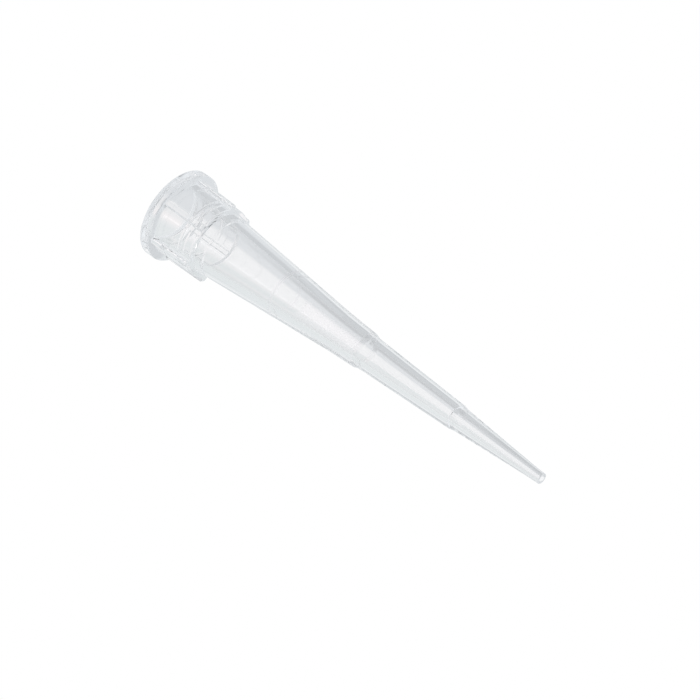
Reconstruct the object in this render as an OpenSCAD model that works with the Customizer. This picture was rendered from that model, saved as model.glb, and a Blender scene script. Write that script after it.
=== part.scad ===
// Small-volume pipette tip: one clear polypropylene moulding.
// It stands on its mouth. The rim lies on z = 0 and the nose points up along +Z.
// The moulding is one revolved wall section, with guide ribs round the collar.

/* [Length] */
// Overall length, from the mouth face to the orifice
tip_len = 31.5; // [28:0.1:38]
// Distance from the orifice back to the small-volume mark
low_mark_up = 7.1; // [5.5:0.1:9]
// Distance from the orifice back to the full-volume mark
full_mark_up = 14.9; // [12:0.1:16]
// Distance from the orifice back to the bend in the shaft's taper
bend_up = 17.2; // [16:0.1:19]
// Distance from the orifice back to the sight line on the shaft
line_up = 21.6; // [19.5:0.1:23]

/* [Rim] */
// Thickness of the rim round the mouth
rim_h = 0.74; // [0.5:0.02:1.2]
// Width of the rim that stands out past the ribs
rim_lip = 0.26; // [0.15:0.01:0.6]
// Rounding of the rim's two outer edges
rim_round = 0.09; // [0.02:0.01:0.2]
// Fillet between the rim and the collar
rim_fillet = 0.08; // [0.02:0.01:0.14]

/* [Collar] */
// Diameter of the collar at its shoulder
collar_d = 4.92; // [4.1:0.02:5.9]
// Length of the collar, from the rim to the shoulder
collar_len = 3.12; // [2.5:0.02:4]
// Draft angle of the collar and its ribs
collar_draft = 1.2; // [0.5:0.1:2]
// Rounding of the shoulder's outer edge
shoulder_round = 0.03; // [0.02:0.01:0.15]
// Width of the flat ledge between the collar and the shaft
ledge_w = 0.33; // [0.2:0.01:0.5]
// Fillet at the foot of the shaft
shaft_fillet = 0.03; // [0.02:0.01:0.15]

/* [Ribs] */
// Number of ribs round the collar
rib_count = 6; // [3:1:10]
// Width of a rib at its crest
rib_w = 0.36; // [0.25:0.01:0.6]
// Draft angle of a rib's two flanks
rib_flank = 12; // [0:1:20]
// Height of a rib above the collar
rib_proud = 0.28; // [0.15:0.01:0.5]
// Rounding of a rib's two long edges
rib_round = 0.04; // [0.02:0.01:0.1]
// Rounding of a rib's end at the shoulder
rib_end_round = 0.12; // [0.05:0.01:0.2]

/* [Shaft] */
// Diameter at the sight line
line_d = 3.37; // [2.9:0.01:4]
// Drop in radius across the sight line
line_step = 0.022; // [0.01:0.002:0.05]
// Length of the sight line's slope
line_run = 0.2; // [0.1:0.02:0.4]
// Diameter at the bend in the taper
bend_d = 2.7; // [2.5:0.01:3.2]
// Diameter just above the full-volume mark
full_mark_d = 2.46; // [2.05:0.01:2.9]
// Drop in radius at the full-volume mark
full_mark_step = 0.11; // [0.05:0.005:0.14]
// Diameter just above the small-volume mark
low_mark_d = 1.69; // [1.45:0.01:2]
// Drop in radius at the small-volume mark
low_mark_step = 0.077; // [0.04:0.005:0.1]
// Length of the slope at each volume mark
mark_run = 0.35; // [0.2:0.05:0.6]

/* [Nose] */
// Diameter at the start of the straight end
nose_d = 0.79; // [0.66:0.01:0.95]
// Diameter of the end face
end_d = 0.73; // [0.62:0.01:0.88]
// Length of the straighter end
nose_len = 0.9; // [0.5:0.05:1.5]
// Rounding of the end's outer edge
end_round = 0.04; // [0.01:0.01:0.06]
// Bore diameter at the orifice
orifice_d = 0.43; // [0.3:0.01:0.5]

/* [Nozzle seat] */
// Diameter of the cylindrical land that grips the pipette's nozzle
seat_d = 3.2; // [2.7:0.01:3.9]
// Depth of that land below the mouth
seat_depth = 3.4; // [3:0.05:4]
// Length of that land
seat_len = 0.85; // [0.5:0.05:1.4]
// Step in radius at each end of the wider land before it
land_step = 0.06; // [0.03:0.01:0.1]
// Length of the wider land
land_len = 0.5; // [0.3:0.05:0.8]
// Growth in radius along the wider land, which is drafted
land_flare = 0.01; // [0.005:0.005:0.03]
// Growth in radius along the tapered mouth of the seat
mouth_flare = 0.13; // [0.08:0.01:0.25]
// Width of the sealing bead
bead_w = 0.26; // [0.15:0.01:0.35]
// Height of the sealing bead above the bore's wall
bead_proud = 0.07; // [0.03:0.01:0.12]
// Distance from the wider land back to the middle of the bead
bead_back = 0.4; // [0.3:0.05:0.8]
// Size of the lead-in chamfer at the mouth
lead_in = 0.1; // [0.05:0.01:0.2]

/* [Shaft bore] */
// Bore diameter at the throat, just past the nozzle seat
throat_d = 2.96; // [2.4:0.01:3.1]
// Length of the slope from the nozzle seat to the throat
throat_run = 0.08; // [0.06:0.01:0.3]
// Bore diameter at the bend in the taper
bore_bend_d = 1.62; // [1.5:0.01:1.9]
// Bore diameter just above the full-volume mark
bore_full_d = 1.48; // [1.2:0.01:1.7]
// Drop in the bore's radius at the full-volume mark
bore_full_step = 0.06; // [0.02:0.005:0.1]
// Bore diameter just above the small ledge near the small-volume mark
bore_low_d = 0.95; // [0.8:0.01:1.05]
// Width of that ledge
bore_ledge_w = 0.06; // [0.02:0.005:0.1]
// Distance from the ledge to the mark
bore_ledge_gap = 0.13; // [0.05:0.01:0.4]
// Slope of the ledge's face, measured from flat
bore_ledge_slope = 9; // [1:1:30]

/* [Hidden] */
$fn = 96;
arc_steps = 6;
// How deep a rib runs into the wall it grows from
rib_root = 0.1;

// Heights above the mouth face
shoulder_z = rim_h + collar_len;
line_z = tip_len - line_up;
bend_z = tip_len - bend_up;
full_z = tip_len - full_mark_up;
low_z = tip_len - low_mark_up;
bore_ledge_z = low_z - bore_ledge_gap;
seat_end_z = seat_depth + seat_len;
land_z = seat_depth - land_len;
bead_z = land_z - bead_back;

// Radii, stacked outwards from the collar
collar_r = collar_d / 2;
collar_root_r = collar_r + collar_len * tan(collar_draft);
rib_r = collar_r + rib_proud;
rib_root_r = collar_root_r + rib_proud;
rim_r = rib_root_r + rim_lip;
shaft_r = collar_r - ledge_w;

// Radii of the nozzle seat, stacked outwards from its land
seat_r = seat_d / 2;
land_r = seat_r + land_step;
flare_r = land_r + land_flare + land_step;
mouth_r = flare_r + mouth_flare;

// Points of an arc about centre c, from angle a0 to angle a1
function arc(c, r, a0, a1) =
    [for (i = [0 : arc_steps]) let (a = a0 + (a1 - a0) * i / arc_steps)
        [c[0] + r * cos(a), c[1] + r * sin(a)]];

// Radius of the seat's tapered mouth at height z
function flare_wall_r(z) = mouth_r - mouth_flare * z / land_z;

// The bead is the cap of a circle that stands out of the bore's wall
bead_arc_r = (pow(bead_proud, 2) + pow(bead_w / 2, 2)) / (2 * bead_proud);
bead_arc_half = asin(bead_w / 2 / bead_arc_r);
bead_centre = [flare_wall_r(bead_z) + bead_arc_r - bead_proud, bead_z];

// Outside of the wall, from the mouth to the end face, as [radius, height]
outer_wall = concat(
    arc([rim_r - rim_round, rim_round], rim_round, -90, 0),
    arc([rim_r - rim_round, rim_h - rim_round], rim_round, 0, 90),
    arc([collar_root_r + rim_fillet, rim_h + rim_fillet], rim_fillet, 270, 180),
    arc([collar_r - shoulder_round, shoulder_z - shoulder_round], shoulder_round, 0, 90),
    arc([shaft_r + shaft_fillet, shoulder_z + shaft_fillet], shaft_fillet, 270, 180),
    [[line_d / 2, line_z],
     [line_d / 2 - line_step, line_z + line_run],
     [bend_d / 2, bend_z],
     [full_mark_d / 2, full_z],
     [full_mark_d / 2 - full_mark_step, full_z + mark_run],
     [low_mark_d / 2, low_z],
     [low_mark_d / 2 - low_mark_step, low_z + mark_run],
     [nose_d / 2, tip_len - nose_len]],
    arc([end_d / 2 - end_round, tip_len - end_round], end_round, 0, 90));

// Inside of the wall, from the orifice back to the mouth
bore_wall = concat(
    [[orifice_d / 2, tip_len],
     [bore_low_d / 2 - bore_ledge_w, bore_ledge_z + bore_ledge_w * tan(bore_ledge_slope)],
     [bore_low_d / 2, bore_ledge_z],
     [bore_full_d / 2 - bore_full_step, full_z + mark_run],
     [bore_full_d / 2, full_z],
     [bore_bend_d / 2, bend_z],
     [throat_d / 2, seat_end_z + throat_run],
     [seat_r, seat_end_z],
     [seat_r, seat_depth],
     [land_r, seat_depth - land_step],
     [land_r + land_flare, land_z],
     [flare_wall_r(land_z - land_step), land_z - land_step]],
    arc(bead_centre, bead_arc_r, 180 - bead_arc_half, 180 + bead_arc_half),
    [[flare_wall_r(lead_in), lead_in],
     [mouth_r + lead_in, 0]]);

// The wall's section, turned once round the axis
module wall() {
    rotate_extrude()
        polygon(concat(outer_wall, bore_wall));
}

// Envelope of the ribs: their drafted crest and its rounded end
module rib_envelope() {
    rotate_extrude()
        polygon(concat(
            [[collar_r - rib_root, rim_h - rib_root],
             [rib_root_r, rim_h - rib_root],
             [rib_root_r, rim_h]],
            arc([rib_r - rib_end_round, shoulder_z - rib_end_round], rib_end_round, 0, 90),
            [[collar_r - rib_root, shoulder_z]]));
}

// Half of a rib's section as [height, width]: its rounded edge, then the flank down to the root
rib_depth = rib_proud + 2 * rib_root;
rib_edge = arc([-rib_round, rib_w / 2 - rib_round], rib_round, 0, 90 - rib_flank);
rib_edge_end = rib_edge[arc_steps];
rib_half = concat(rib_edge,
    [[-rib_depth, rib_edge_end[1] + (rib_edge_end[0] + rib_depth) * tan(rib_flank)]]);
rib_other_half = [for (i = [len(rib_half) - 1 : -1 : 0]) [rib_half[i][0], -rib_half[i][1]]];

// A straight bar with drafted flanks and rounded long edges, standing at the collar's draft
module rib_bar() {
    translate([rib_root_r, 0, rim_h])
        rotate([0, -collar_draft, 0])
            translate([0, 0, -rib_root])
                linear_extrude(collar_len + 2 * rib_root)
                    polygon(concat(rib_half, rib_other_half));
}

// The ribs, the first at the front
module ribs() {
    for (i = [0 : rib_count - 1])
        rotate([0, 0, -90 + i * 360 / rib_count])
            intersection() {
                rib_bar();
                rib_envelope();
            }
}

module pipette_tip() {
    color([0.88, 0.92, 0.94]) {
        wall();
        ribs();
    }
}

pipette_tip();
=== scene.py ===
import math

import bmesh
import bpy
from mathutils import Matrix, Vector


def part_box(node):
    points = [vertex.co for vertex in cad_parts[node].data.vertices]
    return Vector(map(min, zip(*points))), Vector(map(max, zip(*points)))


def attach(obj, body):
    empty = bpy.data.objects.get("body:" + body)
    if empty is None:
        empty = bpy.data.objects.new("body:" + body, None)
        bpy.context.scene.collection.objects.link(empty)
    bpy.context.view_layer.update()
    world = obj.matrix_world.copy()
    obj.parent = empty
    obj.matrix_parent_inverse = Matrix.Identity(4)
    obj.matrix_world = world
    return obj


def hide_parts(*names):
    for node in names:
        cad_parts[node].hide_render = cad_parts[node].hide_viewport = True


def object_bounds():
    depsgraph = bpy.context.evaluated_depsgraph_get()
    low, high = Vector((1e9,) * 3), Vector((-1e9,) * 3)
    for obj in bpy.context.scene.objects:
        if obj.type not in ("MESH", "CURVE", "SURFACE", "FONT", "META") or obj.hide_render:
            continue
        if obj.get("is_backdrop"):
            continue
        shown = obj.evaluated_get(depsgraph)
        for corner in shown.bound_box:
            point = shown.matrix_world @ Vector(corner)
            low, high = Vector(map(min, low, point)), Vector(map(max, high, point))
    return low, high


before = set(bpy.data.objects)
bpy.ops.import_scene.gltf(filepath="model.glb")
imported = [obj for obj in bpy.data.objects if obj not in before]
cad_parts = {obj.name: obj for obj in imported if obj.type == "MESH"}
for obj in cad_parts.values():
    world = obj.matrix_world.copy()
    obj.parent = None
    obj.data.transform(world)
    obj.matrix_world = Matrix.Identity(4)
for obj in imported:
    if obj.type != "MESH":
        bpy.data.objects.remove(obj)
cad_low, cad_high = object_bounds()

# %% [markdown]
# A clear pipette tip, about 31 mm long, stands on its wide mouth. It is one moulding of clear
# polypropylene, so there is one piece to make here and one finish to get right. Clear plastic shows
# almost nothing of itself: what the eye reads is the surroundings, bent by its walls. So the wall has
# to be exact, and the lighting matters as much as the material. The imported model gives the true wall,
# and everything below is worked out from it.

MM = 0.001
UP = Vector((0, 0, 1))
low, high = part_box("pipette_tip")
tip_height = high.z - low.z
rim_width = high.x - low.x
print(f"tip: {tip_height / MM:.2f} mm high, rim {rim_width / MM:.2f} mm across")

# %% [markdown]
# The camera comes first, because every later choice is judged through it. A long lens far away keeps
# the slim tip from looking stretched. The camera looks down a little, so the far side of each ring
# shows through the near side. Rolling it on its side lays the standing tip across the frame, from the
# top left to the bottom right. Turning the whole tip instead would have been simpler, but then it would
# no longer stand on its mouth. The camera aims about half way up, and a small step aside sets the tip
# in its place in the frame.

# %% Camera
look_down = math.radians(28.9)
look_from = math.radians(5)
slant = math.radians(36.03)
distance = 365.3 * MM
aim_share = 0.5005
side_step = 0.515 * MM
aim = Vector((0, 0, low.z + aim_share * tip_height))

outward = Vector((math.sin(look_from), -math.cos(look_from), 0))
toward = outward * math.cos(look_down) + UP * math.sin(look_down)
along = UP * math.cos(look_down) - outward * math.sin(look_down)
across = toward.cross(along)
right = along * math.cos(slant) + across * math.sin(slant)
top = across * math.cos(slant) - along * math.sin(slant)

lens = bpy.data.cameras.new("long_lens")
lens.sensor_width = 36
lens.lens = 308.6
lens.clip_start = 0.01
lens.clip_end = 20
camera = bpy.data.objects.new("camera", lens)
bpy.context.scene.collection.objects.link(camera)
spot = aim + toward * distance - across * side_step
camera.matrix_world = Matrix.Translation(spot) @ Matrix((right, top, toward)).transposed().to_4x4()
bpy.context.scene.camera = camera
print(f"camera {distance / MM:.0f} mm away, {math.degrees(look_down):.1f} degrees above the floor")

# %% [markdown]
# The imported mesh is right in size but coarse, and coarse facets would break up what is seen through the
# wall. So only its outline is kept. A copy of the mesh is cut by a plane through the axis, where no rib
# stands, and what is left of it is the wall's section: one closed wire. The work is done in
# millimetres, where the bmesh operators' small limits do no harm, and the finished mesh is scaled to
# metres at the end.

# %% The wall's section, from the frame
touching = 0.0001


def section_of(node):
    """The outline of the wall in the half plane x > 0, as a wire in millimetres."""
    bm = bmesh.new()
    bm.from_mesh(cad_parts[node].data)
    bmesh.ops.scale(bm, vec=Vector((1, 1, 1)) / MM, verts=bm.verts)
    bmesh.ops.remove_doubles(bm, verts=bm.verts, dist=touching)
    everything = bm.verts[:] + bm.edges[:] + bm.faces[:]
    bmesh.ops.bisect_plane(bm, geom=everything, dist=touching, plane_no=(0, 1, 0),
                           clear_inner=True, clear_outer=True)
    far_half = [v for v in bm.verts if v.co.x < 0]
    bmesh.ops.delete(bm, geom=far_half, context="VERTS")
    return bm


def turn_at(vert):
    """How far the wire turns at a point, in radians."""
    one, two = [edge.other_vert(vert).co - vert.co for edge in vert.link_edges]
    return math.pi - one.angle(two)


straight = math.radians(0.05)
wall = section_of("pipette_tip")
spare = [v for v in wall.verts if turn_at(v) < straight]
bmesh.ops.dissolve_verts(wall, verts=spare)
print(f"section: {len(wall.verts)} corners, {len(spare)} spare points dissolved")

# %% [markdown]
# No moulded edge is perfectly sharp. The section's bare corners get a small round, which is what
# catches a line of light along each mark. Beveling the corners of the wire is far quicker than beveling
# the turned rings. The points of the arcs that are already there are left alone: they are the ones with
# a short edge on either side.

# %% Round the corners and turn the section
edge_round = 0.03
longest_arc_edge = 0.07
corners = [v for v in wall.verts if all(edge.calc_length() > longest_arc_edge for edge in v.link_edges)]
bmesh.ops.bevel(wall, geom=corners, offset=edge_round, offset_type="OFFSET", segments=4, profile=0.5,
                affect="VERTICES", material=-1)
columns = 360
bmesh.ops.spin(wall, geom=wall.verts[:] + wall.edges[:], cent=(0, 0, 0), axis=UP, angle=math.tau,
               steps=columns, use_merge=True)
bmesh.ops.remove_doubles(wall, verts=wall.verts, dist=touching)
bmesh.ops.recalc_face_normals(wall, faces=wall.faces)
print(f"turned wall: {len(wall.faces)} faces, volume {wall.calc_volume():.1f} cubic mm")

# %% [markdown]
# Six slim ribs run along the collar and give a gloved finger some grip. Each has sloping flanks,
# because a moulded rib has to slide out of its groove. A box is made to a rib's size, its flanks are
# splayed and its foot is pushed outwards by the collar's draft. The end and the two long edges are
# beveled last, so every round keeps the width it is given.

# %% Sizes of the ribs, in millimetres
rim_thickness = 0.74
collar_length = 3.12
collar_radius = 2.46
draft = math.radians(1.2)
rib_count = 6
rib_width = 0.36
rib_flank = math.radians(12)
rib_height = 0.28
rib_root = 0.1
rib_edge_round = 0.04
rib_end_round = 0.12
shoulder = rim_thickness + collar_length
print(f"ribs: {rib_count}, each {rib_width} mm wide and {rib_height} mm proud, up to {shoulder:.2f} mm")

# %% [markdown]
# The edges to round are found by their place: the end lies above the middle and outside it, and the
# long edges lie on the two flanks, clear of the collar. Picking edges by place keeps working when a
# size is changed, which picking them by number would not.

# %% One rib
slack = 0.01


def rib_bar():
    """One rib, on the +X side, with its crest at the collar's draft and its outer edges rounded."""
    bm = bmesh.new()
    bmesh.ops.create_cube(bm, size=1)
    inner = collar_radius - rib_root
    crest = collar_radius + rib_height
    length = collar_length + rib_root
    size = Vector((crest - inner, rib_width, length))
    middle = Vector(((crest + inner) / 2, 0, shoulder - length / 2))
    bmesh.ops.scale(bm, vec=size, verts=bm.verts)
    bmesh.ops.translate(bm, vec=middle, verts=bm.verts)
    for vert in bm.verts:
        if vert.co.x < middle.x:
            vert.co.y += math.copysign(size.x * math.tan(rib_flank), vert.co.y)
    foot = [v for v in bm.verts if v.co.z < middle.z and v.co.x > middle.x]
    bmesh.ops.translate(bm, vec=(length * math.tan(draft), 0, 0), verts=foot)
    outer = [e for e in bm.edges if all(v.co.x > middle.x for v in e.verts)]
    end = [e for e in outer if all(v.co.z > middle.z for v in e.verts)]
    bmesh.ops.bevel(bm, geom=end, offset=rib_end_round, offset_type="OFFSET", segments=8, profile=0.5,
                    affect="EDGES", material=-1)
    side = rib_width / 2 - slack
    long_edges = [e for e in bm.edges
                  if all(v.co.x > collar_radius + slack for v in e.verts)
                  and (all(v.co.y > side for v in e.verts) or all(v.co.y < -side for v in e.verts))]
    bmesh.ops.bevel(bm, geom=long_edges, offset=rib_edge_round, offset_type="OFFSET", segments=4,
                    profile=0.5, affect="EDGES", material=-1)
    return bm


# %% [markdown]
# The other ribs are turned copies of the first. The front rib is the one that faces the camera: two
# straight lines run up the middle of the collar where its flanks bend the light. The helper that puts a
# bmesh into the scene is used again for the floor, further down.

# %% All six ribs
def ribs_round_the_collar():
    """All the ribs as one mesh, the first at the front."""
    ribs = bmesh.new()
    first = -math.pi / 2
    for number in range(rib_count):
        bar = rib_bar()
        turn = Matrix.Rotation(first + math.tau * number / rib_count, 4, "Z")
        bmesh.ops.transform(bar, matrix=turn, verts=bar.verts)
        spare_mesh = bpy.data.meshes.new("rib")
        bar.to_mesh(spare_mesh)
        bar.free()
        ribs.from_mesh(spare_mesh)
        bpy.data.meshes.remove(spare_mesh)
    bmesh.ops.recalc_face_normals(ribs, faces=ribs.faces)
    return ribs


def to_object(bm, name):
    """Puts a bmesh into a new object in the scene."""
    mesh = bpy.data.meshes.new(name)
    bm.to_mesh(mesh)
    bm.free()
    made = bpy.data.objects.new(name, mesh)
    bpy.context.scene.collection.objects.link(made)
    return made


ribs = ribs_round_the_collar()
print(f"all ribs: {len(ribs.faces)} faces, volume {ribs.calc_volume():.2f} cubic mm")

# %% [markdown]
# The ribs are joined to the wall by an exact boolean union, because clear plastic shows everything: two
# bodies that merely overlap would draw a false wall wherever one ends inside the other. The result is
# counted at once. An open edge would let light leak in, and the volume should be close to the packed
# model's.

# %% Join the ribs to the wall
body = to_object(wall, "tip_wall")
bars = to_object(ribs, "rib_bars")
union = body.modifiers.new("ribs", "BOOLEAN")
union.operation = "UNION"
union.solver = "EXACT"
union.object = bars
evaluated = body.evaluated_get(bpy.context.evaluated_depsgraph_get())
joined = bpy.data.meshes.new_from_object(evaluated)

moulding = bmesh.new()
moulding.from_mesh(joined)
bmesh.ops.remove_doubles(moulding, verts=moulding.verts, dist=touching)
open_edges = [e for e in moulding.edges if not e.is_manifold]
print(f"joined: {len(moulding.faces)} faces, {len(open_edges)} open edges")
print(f"volume: {moulding.calc_volume():.2f} cubic mm")

# %% [markdown]
# The moulding is shaded smoothly, except across a real corner. The weighted normals keep the flat end
# faces and the ribs' flanks flat right up to their rounds. Without them the rounds would bend the
# reflections of the flat faces beside them.

# %% Smooth shading
bmesh.ops.scale(moulding, vec=Vector((1, 1, 1)) * MM, verts=moulding.verts)
crease = math.radians(35)
for face in moulding.faces:
    face.smooth = True
for edge in moulding.edges:
    edge.smooth = edge.calc_face_angle(0) < crease
tip = to_object(moulding, "clear_tip")
for helper in (body, bars):
    bpy.data.objects.remove(helper)
weighted = tip.modifiers.new("flat_faces_stay_flat", "WEIGHTED_NORMAL")
weighted.keep_sharp = True
weighted.weight = 80
sharp = sum(edge.use_edge_sharp for edge in tip.data.edges)
print(f"shading: {sharp} sharp edges out of {len(tip.data.edges)}")

# %% [markdown]
# The finish and the lighting are both built from shader nodes, and both need the same few tools: some
# arithmetic, a soft step, and a blend of two colours. A small helper writes each node and its links in
# one line, so the cells that use it read like the sums they stand for. The Mix node has a pair of
# sockets for each kind of value, so the ones for colours are found by number.

# %% Helper for shader nodes
mix_first, mix_second, mix_result = 6, 7, 2


class Nodes:
    """Adds nodes and links to one node tree, one line a node."""

    def __init__(self, tree):
        self.tree = tree

    def add(self, kind, **settings):
        made = self.tree.nodes.new(kind)
        for name, value in settings.items():
            setattr(made, name, value)
        return made

    def feed(self, socket, value):
        if isinstance(value, bpy.types.NodeSocket):
            self.tree.links.new(value, socket)
        else:
            socket.default_value = value

    def math(self, operation, *values):
        made = self.add("ShaderNodeMath", operation=operation)
        for socket, value in zip(made.inputs, values):
            self.feed(socket, value)
        return made.outputs[0]

    def fade(self, value, zero_at, one_at):
        """A smooth step of a value, from 0 at one place to 1 at another."""
        made = self.add("ShaderNodeMapRange", interpolation_type="SMOOTHSTEP")
        self.feed(made.inputs["Value"], value)
        self.feed(made.inputs["From Min"], zero_at)
        self.feed(made.inputs["From Max"], one_at)
        return made.outputs[0]

    def between(self, value, start, end, soft):
        """1 between two values and 0 outside them, each edge as wide as twice the softness."""
        middle = (start + end) / 2
        half = (end - start) / 2
        offset = self.math("ABSOLUTE", self.math("SUBTRACT", value, middle))
        return self.fade(offset, half + soft, half - soft)

    def blend(self, factor, first, second):
        made = self.add("ShaderNodeMix", data_type="RGBA")
        self.feed(made.inputs["Factor"], factor)
        self.feed(made.inputs[mix_first], first)
        self.feed(made.inputs[mix_second], second)
        return made.outputs[mix_result]

    def lay(self, name, mask, under, colour):
        """Lays a colour over what is there already, wherever the mask is 1, and names the node."""
        made = self.blend(mask, under, (*colour, 1))
        made.node.label = name
        return made

    def laid(self):
        """How many colours have been laid."""
        return sum(node.label != "" for node in self.tree.nodes)


# %% [markdown]
# Polypropylene is clear, but not every part of the mould is polished. The core pin is spark-eroded over
# a short band, so the bore has a frosted patch there, and the sight line and the corners of the two
# marks are satin. The frost is a fine grain: it needs a rough surface and also a small uneven height,
# or it would look like breath on glass. The masks are made in a node group from the height above the
# mouth and the distance from the axis, so they stay in place whatever the mesh does, and the group
# hands over plain values only. All of them are in millimetres. Each ring also has a distance from the
# axis at which it begins, so the bore behind it stays clear.

# %% Places on the tip
frost_band = (10.8, 15.5)
frost_half_width = 0.72
frost_middle = 0.2
bore_limit = 1.3
sight_line = (9.9, 10.1)
full_mark = (16.56, 16.66)
full_mark_inner = 1.0
small_mark = (24.36, 24.46)
small_mark_inner = 0.65
edge_soft = 0.02


def in_millimetres(nodes):
    """Height above the mouth, distance from the axis and the place itself, all in millimetres."""
    place = nodes.add("ShaderNodeMapping")
    nodes.feed(place.inputs["Vector"], nodes.add("ShaderNodeTexCoord").outputs["Object"])
    place.inputs["Scale"].default_value = Vector((1, 1, 1)) / MM
    split = nodes.add("ShaderNodeSeparateXYZ")
    nodes.feed(split.inputs[0], place.outputs[0])
    x_squared = nodes.math("POWER", split.outputs["X"], 2.0)
    y_squared = nodes.math("POWER", split.outputs["Y"], 2.0)
    from_axis = nodes.math("SQRT", nodes.math("ADD", x_squared, y_squared))
    return split.outputs, from_axis, place.outputs[0]


def noise(nodes, place, scale, detail=2.0):
    """A cloudy pattern between 0 and 1, with so many grains to the millimetre."""
    made = nodes.add("ShaderNodeTexNoise")
    nodes.feed(made.inputs["Vector"], place)
    nodes.feed(made.inputs["Scale"], scale)
    nodes.feed(made.inputs["Detail"], detail)
    return made.outputs["Fac"]


# %% [markdown]
# The frost covers the back of the bore alone, as far as its half width. A little noise is added to the
# distance from its middle, so its long edges wander like a hand-worked finish. Its two ends stay sharp,
# because a turned pin changes finish at a step.

# %% The frost's mask
noise_middle = 0.5
wander_grain = 5.0
wander = 0.3
side_soft = 0.03
back_soft = 0.05
finish = bpy.data.node_groups.new("moulded_finish", "ShaderNodeTree")
for name in ("Roughness", "Height", "Painted_Sheen"):
    finish.interface.new_socket(name, in_out="OUTPUT", socket_type="NodeSocketFloat")
grain = Nodes(finish)
spot_in, from_axis, place = in_millimetres(grain)
above_mouth = spot_in["Z"]
in_bore = grain.fade(from_axis, bore_limit + edge_soft, bore_limit - edge_soft)
edge_grain = grain.math("SUBTRACT", noise(grain, place, wander_grain), noise_middle)
edge_grain = grain.math("MULTIPLY", edge_grain, wander)
off_middle = grain.math("ABSOLUTE", grain.math("SUBTRACT", spot_in["X"], frost_middle))
aside = grain.math("ADD", off_middle, edge_grain)
narrow = grain.fade(aside, frost_half_width + side_soft, frost_half_width - side_soft)
at_back = grain.fade(spot_in["Y"], 0.0, back_soft)
patch_width = grain.math("MULTIPLY", narrow, at_back)
etched = grain.math("MULTIPLY", grain.between(above_mouth, *frost_band, edge_soft), patch_width)
frost = grain.math("MULTIPLY", etched, in_bore)
print(f"frost: from {frost_band[0]} to {frost_band[1]} mm, {2 * frost_half_width:.2f} mm wide")

# %% [markdown]
# The satin rings lie on the outside of the shaft, at the sight line and at the step of each volume
# mark. Three values leave the group. The roughness varies within the frost, the height gives its grain,
# and the painted sheen mask is where the colour is made whiter and a little pink: a painted highlight,
# laid on the satin rings and the frost's grains in place of the lamp light they scatter.

# %% Satin rings, and what the group hands over
def ring(heights, inner):
    """A ring outside the shaft, between two heights and beyond a distance from the axis."""
    outside = grain.fade(from_axis, inner - edge_soft, inner + edge_soft)
    return grain.math("MULTIPLY", grain.between(above_mouth, *heights, edge_soft), outside)


satin_roughness = 0.3
frost_roughness = 0.1
frost_roughness_spread = 0.3
frost_grain = 11.0
# The frost's grains above these values get the painted highlight colour.
painted_sheen_from, painted_sheen_full = 0.1, 0.3
marks = grain.math("MAXIMUM", ring(full_mark, full_mark_inner), ring(small_mark, small_mark_inner))
satin_and_sheen = grain.math("MAXIMUM", ring(sight_line, bore_limit), marks)
fine = noise(grain, place, frost_grain)
uneven = grain.math("ADD", grain.math("MULTIPLY", fine, frost_roughness_spread), frost_roughness)
frost_rough = grain.math("MULTIPLY", frost, uneven)
rough = grain.math("ADD", frost_rough, grain.math("MULTIPLY", satin_and_sheen, satin_roughness))
end = grain.add("NodeGroupOutput")
grain.feed(end.inputs["Roughness"], rough)
bumps = grain.math("MULTIPLY", frost, grain.math("SUBTRACT", fine, noise_middle))
grain.feed(end.inputs["Height"], bumps)
# Painted highlight: a whiter colour on the frost's brighter grains and on the satin rings.
painted_grain_sheen = grain.math("MULTIPLY", etched, grain.fade(fine, painted_sheen_from, painted_sheen_full))
grain.feed(end.inputs["Painted_Sheen"], grain.math("MAXIMUM", satin_and_sheen, painted_grain_sheen))
print(f"finish group: {len(finish.nodes)} nodes, {len(end.inputs) - 1} values handed over")

# %% [markdown]
# The plastic itself is a clear glass-like shader with polypropylene's index of refraction, 1.49. The
# light is bent at every wall, and each wall also mirrors a little, so this one number decides where
# every line falls. The colour is a shade under white, because a thick rim swallows more light than a
# thin wall.

# %% Clear polypropylene
plastic = bpy.data.materials.new("clear_polypropylene")
plastic.use_nodes = True
shader = plastic.node_tree.nodes["Principled BSDF"]
clear_shade = (0.93, 0.93, 0.93, 1)
# The painted highlight colour: whiter than the clear plastic, and a little pink like the warm lamps.
painted_sheen_colour = (1.0, 0.985, 0.99, 1)
frost_depth = 0.014 * MM
refraction = 1.49
shader.inputs["IOR"].default_value = refraction
shader.inputs["Transmission Weight"].default_value = 1.0
coat = Nodes(plastic.node_tree)
surface = coat.add("ShaderNodeGroup", node_tree=finish)
relief = coat.add("ShaderNodeBump")
relief.inputs["Strength"].default_value = 1.0
relief.inputs["Distance"].default_value = frost_depth
coat.feed(relief.inputs["Height"], surface.outputs["Height"])
# The base colour is lifted to the painted highlight colour on the satin rings and the frost's grains.
tint = coat.blend(surface.outputs["Painted_Sheen"], clear_shade, painted_sheen_colour)
coat.feed(shader.inputs["Base Color"], tint)
coat.feed(shader.inputs["Roughness"], surface.outputs["Roughness"])
coat.feed(shader.inputs["Normal"], relief.outputs["Normal"])
tip.data.materials.append(plastic)

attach(tip, "root")
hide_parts("pipette_tip")
print(f"material: {plastic.name}, index of refraction {refraction}")

# %% [markdown]
# Clear plastic has no look of its own: it shows what stands round it. In a product studio that is a
# white sweep, paper cards for shape, and black flags for the dark edges that make glass readable. Here
# the surroundings are painted straight into the world, for bent and mirrored rays only. A place on it
# is given by its turn, which is 0 straight ahead of the camera and grows to the tip's upper side, and
# by its tilt above or below the horizon.

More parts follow.
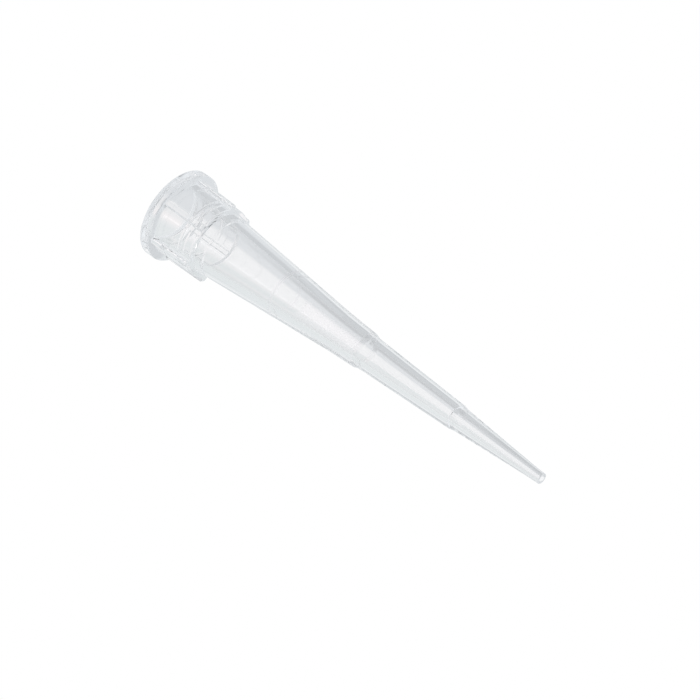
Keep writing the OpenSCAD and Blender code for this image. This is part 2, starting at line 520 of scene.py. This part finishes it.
# %% Directions round the tip
scene = bpy.context.scene
world = bpy.data.worlds.new("studio")
scene.world = world
world.use_nodes = True
world.node_tree.nodes.clear()
sky = Nodes(world.node_tree)
direction = sky.add("ShaderNodeSeparateXYZ")
sky.feed(direction.inputs[0], sky.add("ShaderNodeTexCoord").outputs["Generated"])
ahead = math.pi / 2 + look_from
bearing = sky.math("ARCTAN2", direction.outputs["Y"], direction.outputs["X"])
turn = sky.math("WRAP", sky.math("SUBTRACT", bearing, ahead), math.pi, -math.pi)
turn = sky.math("DEGREES", turn)
tilt = sky.math("DEGREES", sky.math("ARCSINE", direction.outputs["Z"]))
print(f"straight ahead: {math.degrees(ahead):.0f} degrees round from the X axis")

# %% [markdown]
# Each card is painted over what is there already, with soft edges, as a diffused lamp would give. The
# four tints are the small casts of a real studio: cool paper, a leaf-green tint from the thick plastic,
# plain white, and a warm bounce.

# %% Helpers for cards
def card(under, name, turns, tilts, colour, soft=4.0, tilt_soft=4.0):
    """Paints a soft-edged card over the light so far, between two turns and two tilts in degrees."""
    middle = (turns[0] + turns[1]) / 2
    half = (turns[1] - turns[0]) / 2
    offset = sky.math("ABSOLUTE", sky.math("WRAP", sky.math("SUBTRACT", turn, middle), 180.0, -180.0))
    wide = sky.fade(offset, half + soft, half - soft)
    tall = sky.between(tilt, *tilts, tilt_soft)
    return sky.lay(name, sky.math("MULTIPLY", wide, tall), under, colour)


def cool(level):
    """Bluish paper, at a level from 0 for black to 1 for white."""
    return level * 0.965, level, level * 1.035


def leaf(level):
    """The faint green of thick clear plastic, at a level."""
    return level * 0.955, level, level * 1.015


def plain(level):
    """White paper, at a level."""
    return level * 0.99, level, level * 1.015


def warm(level):
    """A rosy bounce, at a level. Above 1 it is a lamp."""
    return level * 1.0, level * 0.98, level * 0.99


# %% [markdown]
# The broad cards come first, over an even cool paper. The ceiling is bright, the left wall has the
# plastic's green cast, and the side behind the camera is warm, because that is where the lamps stand.

# %% Cards above, to the left and behind
light = (*cool(0.82), 1)
light = card(light, "ceiling", (-70, 60), (0, 95), cool(0.93), soft=20, tilt_soft=8)
light = card(light, "ceiling, middle", (-18, 18), (22, 62), cool(0.87), soft=6, tilt_soft=6)
light = card(light, "left wall", (-85, -8), (-60, -6), leaf(0.86), soft=12)
light = card(light, "left wall, outer end", (-75, -38), (-60, -8), leaf(0.84), soft=8)
light = card(light, "behind the camera", (100, 275), (-42, -10), warm(1.08), soft=22)
light = card(light, "behind the camera, left", (175, 270), (-36, -10), warm(1.25), soft=22, tilt_soft=8)
print(f"cards: {sky.laid()}")

# %% [markdown]
# The upper edge of the tip is its dark edge. It looks at the right wall, so that is shaded in steps,
# each narrower and lower than the last. The wall of the tip bends these steps into the fine dark lines
# along the shaft.

# %% Flags to the right
light = card(light, "right wall", (5.5, 100), (-50, -10), cool(0.83), soft=2.5)
light = card(light, "right wall, deep shade", (35, 100), (-55, -16), cool(0.76), soft=10)
light = card(light, "low flag", (17, 45), (-33, -26.5), cool(0.62), soft=4, tilt_soft=1.5)
light = card(light, "high flag", (44, 84), (-25, -13), cool(0.66), soft=4, tilt_soft=2)
light = card(light, "right floor", (32, 100), (-62, -26), cool(0.66), soft=10, tilt_soft=3)
light = card(light, "right floor, near", (9, 100), (-62, -34), cool(0.60), soft=4, tilt_soft=3)
light = card(light, "right floor, edge", (34, 84), (-44, -35), cool(0.60), soft=6, tilt_soft=2)
light = card(light, "gap in the right floor", (10, 33), (-40, -33), cool(0.7), soft=2, tilt_soft=1)
print(f"cards with the flags to the right: {sky.laid()}")

# %% [markdown]
# The bright band along the tip's middle is what lies straight ahead. It is narrow, because a tube
# squeezes a wide view into its edges and spreads a narrow one over its middle.

# %% Cards straight ahead
light = card(light, "middle, left half", (-22, 0), (-60, 5), plain(0.93), soft=8)
light = card(light, "middle", (-6.5, 6), (-60, 5), plain(1.0), soft=1.8)
light = card(light, "flag at the horizon", (1.5, 20), (-18, -4), cool(0.62), soft=1.5, tilt_soft=2)
light = card(light, "glow on the horizon", (-16, 16), (-3, 14), plain(1.1), soft=6, tilt_soft=3)
light = card(light, "warm line", (-6, 0.5), (-22, -8), warm(1.02), soft=2, tilt_soft=2)
light = card(light, "green line", (-18, -9), (-34, -16), leaf(0.88), soft=2, tilt_soft=2)
light = card(light, "green shade", (-31, -22), (-25, -16), leaf(0.76), soft=3, tilt_soft=2)
print(f"cards with those straight ahead: {sky.laid()}")

# %% [markdown]
# Steep views reach only the thick parts: the rim, the shoulder and the throat. A dark floor on one side
# and a pale one on the other give them their contrast. The strip lamp is slim and strong, and it draws
# the thin pink line along the shaft. The high flags are seen in the small ledge in the bore and in the
# shoulder.

# %% Floor cards, strip lamp and high flags
light = card(light, "dark floor", (8, 100), (-80, -52), cool(0.25), soft=8)
light = card(light, "pale floor", (-140, -60), (-80, -52), warm(1.4), soft=10)
light = card(light, "strip lamp", (-154, -151), (-24.8, -15), warm(3.0), soft=1.0, tilt_soft=1.5)
light = card(light, "flag overhead", (-40, 40), (62, 95), cool(0.1), soft=3, tilt_soft=3)
light = card(light, "flag over the camera", (142, 218), (61, 95), cool(0.1), soft=3, tilt_soft=3)
light = card(light, "high flag behind", (92, 138), (25, 58), cool(0.25), soft=3, tilt_soft=3)
print(f"cards in all: {sky.laid()}")

# %% [markdown]
# The camera itself sees plain white behind the tip. The rest of the light bounces many times between
# the two sides of each wall, so a high limit is set: every bounce cut short would leave a black fleck
# in the plastic. Very bright chance hits are held down, because they show as single white grains.

# %% White behind, and enough bounces
lit = sky.add("ShaderNodeBackground")
sky.feed(lit.inputs["Color"], light)
backdrop = sky.add("ShaderNodeBackground")
backdrop.inputs["Color"].default_value = (1, 1, 1, 1)
seen = sky.add("ShaderNodeMixShader")
sky.feed(seen.inputs[0], sky.add("ShaderNodeLightPath").outputs["Is Camera Ray"])
sky.feed(seen.inputs[1], lit.outputs[0])
sky.feed(seen.inputs[2], backdrop.outputs[0])
sky.feed(sky.add("ShaderNodeOutputWorld").inputs[0], seen.outputs[0])

most_bounces = 96
brightest_bounce = 2.0
scene.view_settings.view_transform = "Standard"
scene.cycles.max_bounces = most_bounces
scene.cycles.transmission_bounces = most_bounces
scene.cycles.glossy_bounces = most_bounces
scene.cycles.sample_clamp_indirect = brightest_bounce
print(f"light: {len(world.node_tree.nodes)} nodes, up to {most_bounces} bounces")

# %% [markdown]
# The floor is a large pale disc just under the mouth. It glows evenly instead of being lit, so it fades
# into the backdrop with no horizon. It is hidden from every ray but the camera's, or it would blot out
# the cards below the horizon.

# %% Floor
def disc(name, radius, height, sides):
    """A flat staged disc, lying at a height."""
    bm = bmesh.new()
    bmesh.ops.create_circle(bm, cap_ends=True, radius=radius, segments=sides)
    bmesh.ops.translate(bm, vec=(0, 0, height), verts=bm.verts)
    return to_object(bm, name)


def glowing(name):
    """A material that only glows, white until something else is fed to it."""
    made = bpy.data.materials.new(name)
    made.use_nodes = True
    shader = made.node_tree.nodes["Principled BSDF"]
    shader.inputs["Base Color"].default_value = (0, 0, 0, 1)
    shader.inputs["Specular IOR Level"].default_value = 0
    shader.inputs["Emission Color"].default_value = (1, 1, 1, 1)
    shader.inputs["Emission Strength"].default_value = 1
    return made


floor_radius = 3.0
floor_drop = 0.04 * MM
floor = disc("floor", floor_radius, -floor_drop, sides=64)
floor.visible_glossy = False
floor.visible_transmission = False
floor.visible_diffuse = False
floor.visible_shadow = False
floor.data.materials.append(glowing("white_table"))
floor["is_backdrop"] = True
print(f"floor: {2 * floor_radius:.0f} m across, {floor_drop / MM} mm under the mouth")

# %% [markdown]
# The tip stands on its open mouth, and through the walls of the collar one sees what it stands on. A
# small card lies there, like the tinted paper a maker would slip under a glass, but it glows instead of
# being lit, and its painted shapes are light and shade that show in the collar and the rim. It is hidden
# from the camera and seen only through the plastic. Places on it are measured to the side, to the back
# and outwards from the axis.

# %% Card under the mouth
card_radius = 3.12 * MM
card_drop = 0.02 * MM
stand = disc("stand_card", card_radius, -card_drop, sides=128)
stand.visible_camera = False
stand.visible_diffuse = False
stand.visible_shadow = False
glowing_stand_card = glowing("glowing_stand_card")
paint = Nodes(glowing_stand_card.node_tree)
place = paint.add("ShaderNodeMapping")
paint.feed(place.inputs["Vector"], paint.add("ShaderNodeTexCoord").outputs["Object"])
place.inputs["Rotation"].default_value = (0, 0, -look_from)
place.inputs["Scale"].default_value = Vector((1, 1, 1)) / MM
spot_on_card = paint.add("ShaderNodeSeparateXYZ")
paint.feed(spot_on_card.inputs[0], place.outputs[0])
side = paint.math("MULTIPLY", spot_on_card.outputs["X"], -1.0)
back = spot_on_card.outputs["Y"]
side_squared = paint.math("POWER", side, 2.0)
back_squared = paint.math("POWER", back, 2.0)
out = paint.math("SQRT", paint.math("ADD", side_squared, back_squared))
round_front = paint.math("DEGREES", paint.math("ARCTAN2", side, paint.math("MULTIPLY", back, -1.0)))
print(f"stand card: {2 * card_radius / MM:.2f} mm across, {card_drop / MM} mm under the mouth")

# %% [markdown]
# Two kinds of shape are painted on the card: a patch with straight sides, and a sector of a ring. The
# rings follow the rim, which is the thickest plastic and so bends the light most.

# %% Helpers for the card
def patch(under, name, sides, backs, colour, soft=0.15):
    """Paints a soft-edged patch over the card so far, between two distances each way in millimetres."""
    inside = paint.math("MULTIPLY", paint.between(side, *sides, soft), paint.between(back, *backs, soft))
    return paint.lay(name, inside, under, colour)


def sector(under, name, radii, angles, colour, soft=0.06, angle_soft=3.0):
    """Paints part of a ring over the card so far, between two radii and two angles from the front."""
    inside = paint.math("MULTIPLY", paint.between(out, *radii, soft),
                        paint.between(round_front, *angles, angle_soft))
    return paint.lay(name, inside, under, colour)


# %% [markdown]
# The card is darker on the tip's upper side and green on its lower side, like the walls above. A warm
# line in the middle shows through the front of the collar. The sectors darken or lift the rim a piece
# at a time.

# %% Paint the card
shade = (*cool(0.82), 1)
shade = patch(shade, "upper side", (0.45, 4), (-4, 4), cool(0.775), soft=0.25)
shade = patch(shade, "lower side, green", (-4, -0.9), (-4, 4), leaf(0.82), soft=0.3)
shade = patch(shade, "middle strip", (-0.9, 0.4), (-1.9, 1.9), plain(0.87), soft=0.25)
shade = patch(shade, "warm line", (-0.68, -0.28), (-1.6, 1.9), warm(0.93), soft=0.15)
shade = patch(shade, "warm line, core", (-0.55, -0.46), (-0.4, 1.7), warm(1.0), soft=0.06)
shade = patch(shade, "outer lower side", (-4, -2.0), (-1.8, 1.2), cool(0.68), soft=0.3)
shade = patch(shade, "warm edge at the back", (0.0, 1.2), (2.1, 2.6), warm(1.0), soft=0.15)
shade = sector(shade, "rim, near left", (1.9, 2.4), (-65, -15), cool(0.74), soft=0.06, angle_soft=8)
shade = sector(shade, "rim, dark front", (2.5, 4), (-14, 30), cool(0.3))
shade = sector(shade, "rim, front inner edge", (1.6, 2.2), (-4, 12), cool(0.6), soft=0.1, angle_soft=4)
shade = sector(shade, "rim, warm front left", (2.45, 4), (-38, -18), warm(1.15))
# The painted light and shade leave the card as its glow.
paint.feed(glowing_stand_card.node_tree.nodes["Principled BSDF"].inputs["Emission Color"], shade)
stand.data.materials.append(glowing_stand_card)
stand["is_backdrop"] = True
print(f"stand card: {paint.laid()} shapes painted")

# %% [markdown]
# Last, the size of what was made is written down beside the imported model's size. The two should agree,
# because the finished wall was turned from the imported one's section.

# %% Size of the finished tip
new_low, new_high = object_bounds()
made_height = (new_high.z - new_low.z) / MM
packed_height = (cad_high.z - cad_low.z) / MM
print(f"size: {made_height:.2f} mm high, packed model {packed_height:.2f} mm")
